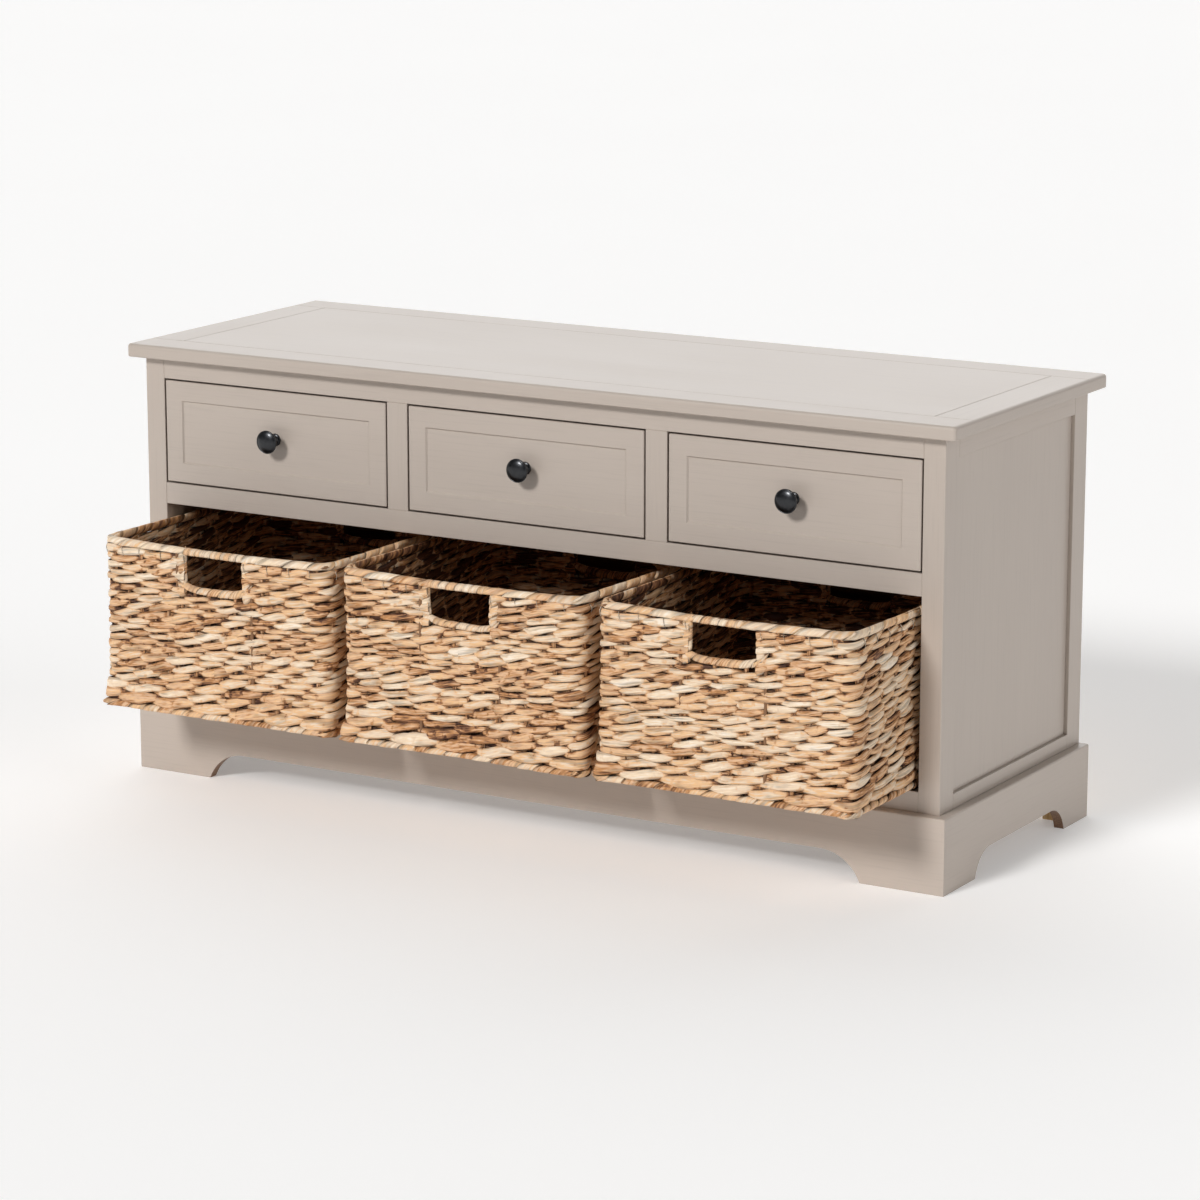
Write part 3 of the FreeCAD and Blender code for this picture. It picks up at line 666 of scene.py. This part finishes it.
def strand_rings(rng, s, theta, height, stout):
    """One strand of a row in flat terms, and the tone of each of its rings."""
    passes = int(np.ptp(theta) / math.pi + 0.5)
    index = theta / math.pi
    slow = drift_along(rng, s, STEM_LENGTH)
    swing = np.cos(theta)
    lens = np.abs(swing) ** 0.8
    outward = np.sign(swing) * np.abs(swing) ** 0.7
    width = CROSSING_WIDTH + (PASS_WIDTH - CROSSING_WIDTH) * lens
    width = width * stout * (1 + WIDTH_CHANCE * wander(rng, index, passes) * lens
                             + WIDTH_DRIFT * drift_along(rng, s, STEM_LENGTH))
    thick = STRAND_THICKNESS * stout * (1 + THICK_CHANCE * wander(rng, index, passes))
    tilt = TILT_CHANCE * wander(rng, index, passes) * lens
    rise = CROSSING_RISE * stout * (1 + RISE_CHANCE * wander(rng, index, passes))
    across = height + rise * np.sin(theta) + HEIGHT_CHANCE * wander(rng, index, passes)
    depth = STRAND_OUT * stout * outward + DEPTH_CHANCE * wander(rng, index, passes)
    turn = 2 * np.pi * (np.arange(STRAND_SIDES) + 0.5) / STRAND_SIDES
    creases = [1 + CREASE_DEPTH * drift_along(rng, s, CREASE_LENGTH) for _ in turn]
    crease = np.stack(creases, axis=1)
    wide = 0.5 * width[:, None] * np.cos(turn) * crease
    deep = 0.5 * thick[:, None] * np.sin(turn) * crease
    up = wide * np.cos(tilt)[:, None] - deep * np.sin(tilt)[:, None]
    push = wide * np.sin(tilt)[:, None] + deep * np.cos(tilt)[:, None]
    tone = TONE + TONE_DRIFT * slow + TONE_CHANCE * wander(rng, index, passes)
    # Stems facing in are darker: partly brown bark, partly painted shade for the basket's dark
    # inside.
    tone = tone - INSIDE_BARK_AND_SHADE * (outward < -0.2)
    # Folded edges are darker: partly their browner colour, partly painted shade.
    tone = tone[:, None] - EDGE_BROWN_AND_SHADE * (np.abs(np.cos(turn)) > 0.9)
    return (s[:, None] + 0 * up, across[:, None] + up, depth[:, None] + push), tone


def twine(bundle, rng, fold, height, start, stop, shift, wave, stout=1.0):
    """Two strands twined from start to stop at one height."""
    s = np.linspace(start, stop, int((stop - start) / STRAND_STEP))
    row_wave = ROW_STRAY * drift_along(rng, s, ROW_STRAY_LENGTH)
    drift = PASS_STRAY * drift_along(rng, s, PASS_STRAY_LENGTH)
    for strand in (0, math.pi):
        theta = 2 * math.pi * (s - start) / wave + shift + strand + drift
        flat, tone = strand_rings(rng, s, theta, height + row_wave, stout)
        bundle.add(fold(*flat), tone, s)


trial, wall = Bundle(), walls["left"]
twine(trial, np.random.default_rng(1), wall.fold, 50 * MM, 0, wall.length, 0, WAVE)
print("one twined row has", sum(len(f) for f in trial.faces), "faces")

# %% [markdown]
# ## Winding
# The rim and the edges of the hand-holds are wound: one ribbon goes round and round, and each
# turn overlaps the last like a roof tile. So a short section of ribbon, thin and a little
# crowned, is carried along a helix. One edge is lifted to lie on the turn before it. The tone
# changes once a turn, on the hidden underside, which makes each turn look like its own leaf.
# A pitch may be one number or vary along the bar, and a shade darkens the whole winding.

# %% Wind a ribbon round a bar
TURN_STEPS = 16
BAR_STEPS = 3000                # places along a bar where the winding's pitch is known
BAR_STRAY, BAR_WAVE = 0.9 * MM, 95 * MM     # how far a wound bar strays, and over what length
BAR_TONE, TURN_CHANCE = 0.64, 0.26
PITCH_CHANCE, SWELL_CHANCE, LIFT_CHANCE = 0.20, 0.06, 0.35
OVERLAP = 1.25                  # how much wider than its pitch a ribbon is
RIBBON_ACROSS = np.array([-0.50, -0.18, 0.22, 0.56, 0.50, -0.40])
RIBBON_LIFT = np.array([0.32, 0.50, 0.30, -0.20, -0.50, -0.20]) * MM


def wind(bundle, rng, fold, start, stop, place, half_high, half_deep, pitch,
         upright=False, out=0.0, shade=0.0):
    """Wind a ribbon from start to stop; place is the bar's other flat coordinate."""
    fine = np.linspace(start, stop, BAR_STEPS)
    gap = pitch(fine) if callable(pitch) else np.full(len(fine), pitch)
    turns = np.concatenate([[0], np.cumsum(np.diff(fine) / gap[1:])])
    count = int(turns[-1] * TURN_STEPS)
    turn = np.linspace(0, turns[-1], count)
    along = np.interp(turn, turns, fine)
    width = np.interp(along, fine, gap)
    total = int(turns[-1]) + 2
    along = along + width * PITCH_CHANCE * wander(rng, turn, total)
    swell = 1 + SWELL_CHANCE * wander(rng, turn, total)
    phi = 2 * math.pi * turn
    lift = RIBBON_LIFT[None, :] * (1 + LIFT_CHANCE * wander(rng, turn, total))[:, None]
    high = -(half_high * swell[:, None] + lift) * np.cos(phi)[:, None]
    deep = out + (half_deep * swell[:, None] + lift) * np.sin(phi)[:, None]
    waves = max(round((stop - start) / BAR_WAVE), 1)
    wave = BAR_STRAY * wander(rng, along / BAR_WAVE, waves)
    run = along[:, None] + RIBBON_ACROSS[None, :] * width[:, None] * OVERLAP
    other = place + wave[:, None] + high
    flat = (other, run, deep) if upright else (run, other, deep)
    chance = rng.uniform(-1, 1, total)[np.floor(turn).astype(int)]
    tone = BAR_TONE - shade + TURN_CHANCE * chance
    # The winding's inner side is darker: partly brown bark, partly painted shade.
    tone = tone - INSIDE_BARK_AND_SHADE * (np.sin(phi) < -0.3)
    bundle.add(fold(*flat), tone, phi * half_high)


print("a turn of ribbon has", TURN_STEPS, "steps")

# %% [markdown]
# ## Weaving the walls
# A basket is woven from the bottom up: fifteen full rows of twining, the lowest with the stoutest
# stems, then shorter rows beside the hand-holds. Every other row is shifted by a quarter of a
# wave, give or take a bit of chance, so that its passes tend to lie over the crossings of the
# row below, like bricks. Rows beside a hand-hold are open: they stop on its wound edges, front
# and back. Two meshes carry the rows, so that neither grows too heavy.

# %% Weave the rows and the stakes
ROW_GAP = 8.3 * MM
EXTRA_GAP = 4.4 * MM            # the lowest rows are woven with the stoutest stems
EXTRA_ROWS = 2.2                # the extra gap fades over about this many rows
PLAIN_GAP = 9 * MM              # the gap that a strand of plain stoutness fills
ROW_CHANCE = 0.7                # how far chance shifts a row, in radians of its wave
FIRST_ROW = 14.5 * MM
FULL_ROWS = 15
LOWER_ROWS = 8                  # the first mesh carries this many of them
BAR_HEIGHT = 151 * MM
SIDE_ROWS = 5
SIDE_ROW_GAP = 8.6 * MM
HOLD_HALF = 39 * MM
EDGE_HALF = 5 * MM
STAKE_GAP = WAVE / 4
STAKE_HALF_WIDTH, STAKE_HALF_THICK = 2.6 * MM, 0.7 * MM
STAKE_FOOT = 4 * MM
STAKE_RINGS = 14
STAKE_TONE = 0.24


def weave_rows(wall, bundle, rows):
    """Full rows round the whole wall; each is a height and the gap that it fills."""
    for number, (height, gap) in enumerate(rows):
        stout = gap / PLAIN_GAP
        wave = wall.length / round(wall.length / (WAVE * stout))
        shift = math.pi / 2 * (number % 2) + wall.rng.uniform(-ROW_CHANCE, ROW_CHANCE)
        twine(bundle, wall.rng, wall.fold, height, 0, wall.length, shift, wave, stout)


def weave_side_rows(wall, bundle):
    """Open rows between the two hand-holds, one run for each side."""
    wave = wall.length / round(wall.length / WAVE)
    clear = HOLD_HALF + 1 * MM
    for i in range(SIDE_ROWS):
        height = BAR_HEIGHT + i * SIDE_ROW_GAP
        shift = math.pi / 2 * (i % 2)
        for start in (clear, wall.length / 2 + clear):
            stop = start + wall.length / 2 - 2 * clear
            phase = shift + 2 * math.pi * start / wave
            twine(bundle, wall.rng, wall.fold, height, start, stop, phase, wave)


def set_stakes(wall, bundle):
    """Flat upright stakes in the middle of the wall."""
    count = round(wall.length / STAKE_GAP)
    gap = wall.length / count
    for i in range(count):
        s = (i + 0.5) * gap
        below_hold = wall.from_hold(s) < HOLD_HALF + EDGE_HALF
        top = BAR_HEIGHT if below_hold else wall.height - 2 * RIM_HEIGHT
        z = np.linspace(STAKE_FOOT, top, STAKE_RINGS)[:, None]
        side = np.array([-1, 1, 1, -1]) * STAKE_HALF_WIDTH
        thick = np.array([-1, -1, 1, 1]) * STAKE_HALF_THICK
        rings = wall.fold(s + side + 0 * z, z + 0 * side, thick + 0 * z)
        bundle.add(rings, np.full(STAKE_RINGS, STAKE_TONE), z[:, 0])


pieces = 0
for place in PLACES:
    wall = walls[place]
    body, cad_node = f"basket_{place}", f"basket_{place}_weave"
    lower, upper = Bundle(), Bundle()
    gaps = ROW_GAP + EXTRA_GAP * np.exp(-np.arange(FULL_ROWS) / EXTRA_ROWS)
    heights = FIRST_ROW + np.concatenate([[0], np.cumsum((gaps[1:] + gaps[:-1]) / 2)])
    rows = list(zip(heights, gaps))
    weave_rows(wall, lower, rows[:LOWER_ROWS])
    weave_rows(wall, upper, rows[LOWER_ROWS:])
    weave_side_rows(wall, upper)
    set_stakes(wall, lower)
    for part, bundle in (("lower_rows", lower), ("upper_rows", upper)):
        mesh = bundle.mesh(f"{body}_{part}")
        place_piece(f"{body}_{part}", mesh, hyacinth, body, cad_node)
        pieces += len(mesh.polygons)
print("walls:", pieces, "faces in all")

# %% [markdown]
# ## Rim, border and hand-holds
# The rim is wound over the top wire, more tightly above the hand-holds, where fingers pull on it.
# The border round the foot is wound from browner stems. The hand-hold's lower bar, which curves
# up at its ends, and its two sides are wound too. Each is a bar with its own half height, half
# depth and pitch.

# %% Wind the rim, the border and the hand-holds
RIM_PITCH = 30 * MM
TIGHT_PITCH = {"left": 7 * MM, "centre": 10 * MM, "right": 10 * MM}
RIM_BAR = {"half_high": 4.1 * MM, "half_deep": 4.3 * MM}
BORDER_BAR = {
    "half_high": 3.6 * MM, "half_deep": 4.6 * MM, "pitch": 20 * MM, "shade": 0.14, "out": 1.4 * MM}
HOLD_BAR = {"half_high": 4.0 * MM, "half_deep": 3.8 * MM, "pitch": 14 * MM, "shade": 0.04}
HOLD_SIDE = {
    "half_high": 5.4 * MM, "half_deep": 3.2 * MM, "pitch": 12 * MM, "shade": 0.04, "upright": True}
BORDER_HEIGHT = 5.4 * MM
HOLD_CUP = 6 * MM               # how far the ends of a hand-hold's lower bar curve up


def rim_pitch(wall, tight):
    """Pitch of the rim's winding, tighter over each hand-hold."""
    def pitch(s):
        return np.where(wall.from_hold(s) < HOLD_HALF, tight, RIM_PITCH)
    return pitch


def wind_edges(wall, bundle, tight):
    """The rim, the border, and the bar and two sides of each hand-hold."""
    start, stop = wall.length / 4, wall.length * 5 / 4
    reach = HOLD_HALF + EDGE_HALF
    wind(bundle, wall.rng, wall.fold, start, stop, wall.height - RIM_HEIGHT,
         pitch=rim_pitch(wall, tight), **RIM_BAR)
    wind(bundle, wall.rng, wall.fold, start, stop, BORDER_HEIGHT, **BORDER_BAR)
    for middle in (0, wall.length / 2):
        def cupped(s, z, d, middle=middle):
            return wall.fold(s, z + HOLD_CUP * ((s - middle) / reach) ** 4, d)

        wind(bundle, wall.rng, cupped, middle - reach, middle + reach, BAR_HEIGHT, **HOLD_BAR)
        for s in (middle - reach, middle + reach):
            wind(bundle, wall.rng, wall.fold, BAR_HEIGHT - 3 * MM, wall.height - 8 * MM, s,
                 **HOLD_SIDE)


edges = {}
for place in PLACES:
    edges[place] = Bundle()
    wind_edges(walls[place], edges[place], TIGHT_PITCH[place])
print("each basket has", len(edges["left"].points), "wound bars")

# %% [markdown]
# ## Stitches and loose ends
# Under the rim, thin stitches tie it to the wall every few centimetres. Last come loose ends:
# fine fibres that spring out of the weave, which the eye reads at once as plant fibre and not
# plastic. Both are thin threads through a few flat points.

# %% Add stitches and loose ends
STITCH_GAP = 29 * MM
STITCH_SHAPE = np.array([(0, 0, 3.9), (1.2, -4, 5.3), (2.2, -10, 3.9)]) * MM
STITCH_RADIUS, STITCH_TONE = 0.85 * MM, 0.97
THREAD_SIDES = 4
LOOSE_ENDS = 34
LOOSE_REACH, LOOSE_RISE = 16, 6     # how far a loose end can run along and up, in mm
LOOSE_RADIUS, LOOSE_TONE = 0.35 * MM, 0.9


def thread(wall, bundle, points, radius, tone):
    """A thin thread through flat points, which tapers towards its end."""
    line = smooth_line(points, 4)
    s, z, d = line[:, :1], line[:, 1:2], line[:, 2:]
    turn = 2 * np.pi * np.arange(THREAD_SIDES) / THREAD_SIDES
    taper = radius * np.linspace(1, 0.4, len(line))[:, None]
    rings = wall.fold(s + 0 * turn, z + taper * np.cos(turn), d + taper * np.sin(turn))
    bundle.add(rings, np.full(len(line), tone), np.linspace(0, 20 * MM, len(line)))


def stitch_and_fray(wall, bundle):
    """Stitches under the rim and loose ends all over."""
    rng, half = wall.rng, wall.length / 2
    for i in range(int(wall.length / STITCH_GAP)):
        s = (i + 0.5) * STITCH_GAP + rng.uniform(-3, 3) * MM
        if wall.from_hold(s) < HOLD_HALF:
            continue
        stitch = STITCH_SHAPE + (s, wall.height - 2 * EDGE_HALF, 0)
        thread(wall, bundle, stitch, STITCH_RADIUS, STITCH_TONE)
    for _ in range(LOOSE_ENDS):
        s, z = rng.uniform(0, wall.length), rng.uniform(10 * MM, wall.height - 12 * MM)
        if z > BAR_HEIGHT - 10 * MM and (s + HOLD_HALF) % half < 2.4 * HOLD_HALF:
            continue
        reach = rng.uniform(-LOOSE_REACH, LOOSE_REACH) * MM
        rise = rng.uniform(-LOOSE_RISE, LOOSE_RISE) * MM
        lift = rng.uniform(0.6, 3.0) * MM
        line = [(s, z, 4.2 * MM), (s + reach / 2, z + rise / 3, 5.0 * MM + lift / 2),
                (s + reach, z + rise, 5.2 * MM + lift)]
        thread(wall, bundle, line, LOOSE_RADIUS, LOOSE_TONE)


for place in PLACES:
    body, cad_node = f"basket_{place}", f"basket_{place}_weave"
    stitch_and_fray(walls[place], edges[place])
    mesh = edges[place].mesh(f"{body}_rim")
    place_piece(f"{body}_rim", mesh, hyacinth, body, cad_node)
print("a rim has", len(mesh.polygons), "faces")

# %% [markdown]
# ## The baskets' bottoms
# The bottom is twined the same way, in straight rows from side to side. These are flat terms
# again: s runs across the basket and the second coordinate runs from front to back. Its fold
# only lays the cloth flat, with the outside facing down.

# %% Weave the bottoms
BASE_ROW_GAP = 9.6 * MM
BASE_HEIGHT = 5.5 * MM
for place in PLACES:
    wall = walls[place]
    body, cad_node = f"basket_{place}", f"basket_{place}_weave"
    middle = (wall.low + wall.high) / 2
    reach = (wall.high - wall.low) / 2 - WALL

    def lay_flat(s, across, d, wall=wall, middle=middle):
        height = wall.low[2] + BASE_HEIGHT - d
        return np.stack([middle[0] + s, middle[1] + across, height], axis=-1)

    bundle = Bundle()
    rows = int(2 * reach[1] / BASE_ROW_GAP)
    for i in range(rows):
        across = (i - (rows - 1) / 2) * BASE_ROW_GAP
        shift = math.pi / 2 * (i % 2)
        twine(bundle, wall.rng, lay_flat, across, -reach[0], reach[0], shift, WAVE)
    mesh = bundle.mesh(f"{body}_bottom")
    place_piece(f"{body}_bottom", mesh, hyacinth, body, cad_node)
print("a bottom has", rows, "rows and", len(mesh.polygons), "faces")

# %% [markdown]
# ## Floor
# The bench stands on a plain pale floor of matt paint that runs to the horizon. It gives the eye
# soft shadows and no reflections. It also glows very faintly, which stands in for the light that
# a white studio throws back from all sides.

# %% Lay the floor
FLOOR_SIZE = 40.0
FLOOR_GLOW = 0.22
floor_mesh = bpy.data.meshes.new("floor")
half = FLOOR_SIZE / 2
floor_mesh.from_pydata(
    [(-half, -half, 0), (half, -half, 0), (half, half, 0), (-half, half, 0)], [], [(0, 1, 2, 3)])
floor = bpy.data.objects.new("floor", floor_mesh)
bpy.context.scene.collection.objects.link(floor)
floor_paint, floor_tree, floor_shader = new_material("matt_white_floor")
floor_cloud = node(floor_tree, "TexNoise", {
    "Vector": stretched(floor_tree, ALONG_X, 0.8, 0.8), "Scale": 1.0})
floor_tint = node(floor_tree, "MixRGB", {
    "Fac": floor_cloud, "Color1": linear("#F1F0EF"), "Color2": linear("#F4F3F2")})
floor_tree.links.new(floor_tint.outputs[0], floor_shader.inputs["Base Color"])
floor_shader.inputs["Roughness"].default_value = 0.9
floor_shader.inputs["Emission Color"].default_value = linear("#FFFFFF")
floor_shader.inputs["Emission Strength"].default_value = FLOOR_GLOW
floor_mesh.materials.append(floor_paint)
print("floor:", FLOOR_SIZE, "m wide, in", floor_paint.name)

# %% [markdown]
# ## Light
# A key light stands almost straight in front, a little to the left and well above, so that the
# front is bright and the baskets throw a soft shadow on the plinth. A wide, weaker light from
# the right opens up the end panel. A bright backdrop glows behind the bench and sheens the top.
# The backdrop is only a glow in one direction of the world, so no wall stands behind the bench.

# %% Lights and room
ROOM_LIGHT = 0.10
BACK_GLOW = 1.75
BACK_GLOW_TOWARDS = (-0.50, 0.84, 0.22)
KEY_FROM = (-0.17, -0.84, 0.52)
KEY_STRENGTH = 2.05
KEY_ANGLE = 13
SIDE_FROM = (0.90, -0.10, 0.42)
SIDE_STRENGTH = 0.68
SIDE_ANGLE = 50


def far_light(name, comes_from, strength, angle):
    """A soft light from far away, so it falls on the whole floor evenly."""
    lamp = bpy.data.lights.new(name, "SUN")
    lamp.energy = strength
    lamp.angle = math.radians(angle)
    light = bpy.data.objects.new(name, lamp)
    x, y, z = comes_from
    light.rotation_euler = (math.atan2(math.hypot(x, y), z), 0, math.atan2(x, -y))
    bpy.context.scene.collection.objects.link(light)


far_light("key_light", KEY_FROM, KEY_STRENGTH, KEY_ANGLE)
far_light("side_light", SIDE_FROM, SIDE_STRENGTH, SIDE_ANGLE)
room = bpy.data.worlds.new("white_room")
room.use_nodes = True
room.node_tree.nodes.clear()
direction = node(room.node_tree, "TexCoord").outputs["Generated"]
behind = node(room.node_tree, "VectorMath", {0: direction, 1: BACK_GLOW_TOWARDS},
              operation="DOT_PRODUCT")
wash = node(room.node_tree, "MapRange", {
    "Value": behind.outputs["Value"], "From Min": 0.45, "From Max": 0.95,
    "To Min": ROOM_LIGHT, "To Max": BACK_GLOW}, interpolation_type="SMOOTHSTEP")
glow = node(room.node_tree, "Background", {"Color": linear("#FFFFFF"), "Strength": wash})
node(room.node_tree, "OutputWorld", {"Surface": glow})
bpy.context.scene.world = room
bpy.context.scene.view_settings.view_transform = "Standard"

# %% [markdown]
# ## Camera
# A long lens, in front and to the right, looks down on the bench by about 13 degrees. It shows
# the front, the right side and a narrow band of the top, and it keeps parallel edges nearly
# parallel.

# %% Camera
CAMERA_PLACE = (2.402, -4.020, 1.296)
CAMERA_TURN = 30.56
CAMERA_TILT = 12.73
CAMERA_LENS = 126.5

lens = bpy.data.cameras.new("camera")
lens.lens = CAMERA_LENS
camera = bpy.data.objects.new("camera", lens)
camera.location = CAMERA_PLACE
camera.rotation_euler = (math.radians(90 - CAMERA_TILT), 0, math.radians(CAMERA_TURN))
bpy.context.scene.collection.objects.link(camera)
bpy.context.scene.camera = camera
print("camera stands", round(math.dist(CAMERA_PLACE, (0, 0, 0.25)), 2), "m away")
